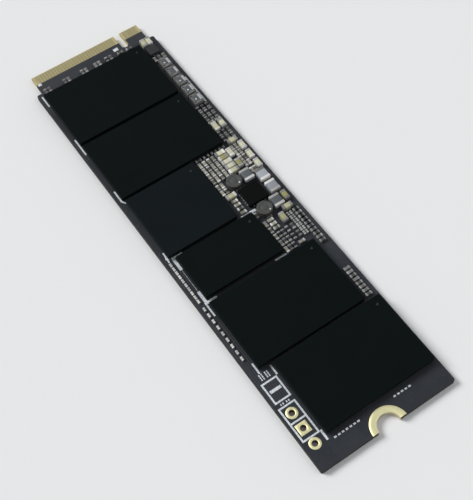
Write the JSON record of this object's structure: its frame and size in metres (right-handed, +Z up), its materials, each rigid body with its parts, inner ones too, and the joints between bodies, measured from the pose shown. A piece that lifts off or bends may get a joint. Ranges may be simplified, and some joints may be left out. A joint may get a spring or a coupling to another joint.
{
  "type": "nvme ssd",
  "caption": "Bare solid-state drive card with gold edge contacts, a key notch, a half-round mounting notch, flat black memory and controller packages and small power parts.",
  "frame": {"origin": "middle of the card's underside", "axes": "+X from the contact tip towards the mounting notch, +Y towards the long edge on the key notch's side, +Z up out of the face that carries the parts"},
  "size_m": [0.08, 0.022, 0.0018],
  "materials": {
    "solder_mask": "satin black solder mask",
    "contact_gold": "hard gold plating",
    "land_gold": "immersion gold",
    "memory_mould": "fine matt mould compound",
    "controller_mould": "fine matt mould compound",
    "leadless_mould": "matt mould compound",
    "tinned_metal": "matt tin",
    "plated_end": "matt tin over nickel",
    "ferrite": "ground ferrite and resin",
    "filter_ceramic": "fired ceramic",
    "capacitor_ceramic": "fired ceramic",
    "resistor_glaze": "black glaze"
  },
  "bodies": {
    "root": {"circuit_board": "solder_mask", "edge_contacts_top": "contact_gold", "edge_contacts_bottom": "contact_gold", "mounting_land": "land_gold", "header_eyelet_1": "land_gold", "header_eyelet_2": "land_gold", "header_eyelet_3": "land_gold", "flash_package_1": "memory_mould", "flash_package_2": "memory_mould", "flash_package_3": "memory_mould", "flash_package_4": "memory_mould", "cache_package": "memory_mould", "controller_package": "controller_mould", "power_regulator": "leadless_mould", "power_regulator_lands": "tinned_metal", "load_switch": "leadless_mould", "load_switch_lands": "tinned_metal", "power_inductor_1": "ferrite", "power_inductor_2": "ferrite", "power_inductor_feet": "tinned_metal", "filter_inductors": "filter_ceramic", "filter_inductor_ends": "plated_end", "bulk_capacitors": "capacitor_ceramic", "bulk_capacitor_ends": "plated_end", "bypass_capacitors": "capacitor_ceramic", "bypass_capacitor_ends": "plated_end", "coupling_capacitors": "capacitor_ceramic", "coupling_capacitor_ends": "plated_end", "resistors": "resistor_glaze", "resistor_ends": "plated_end", "fine_chips": "capacitor_ceramic"}
  },
  "joints": []
}
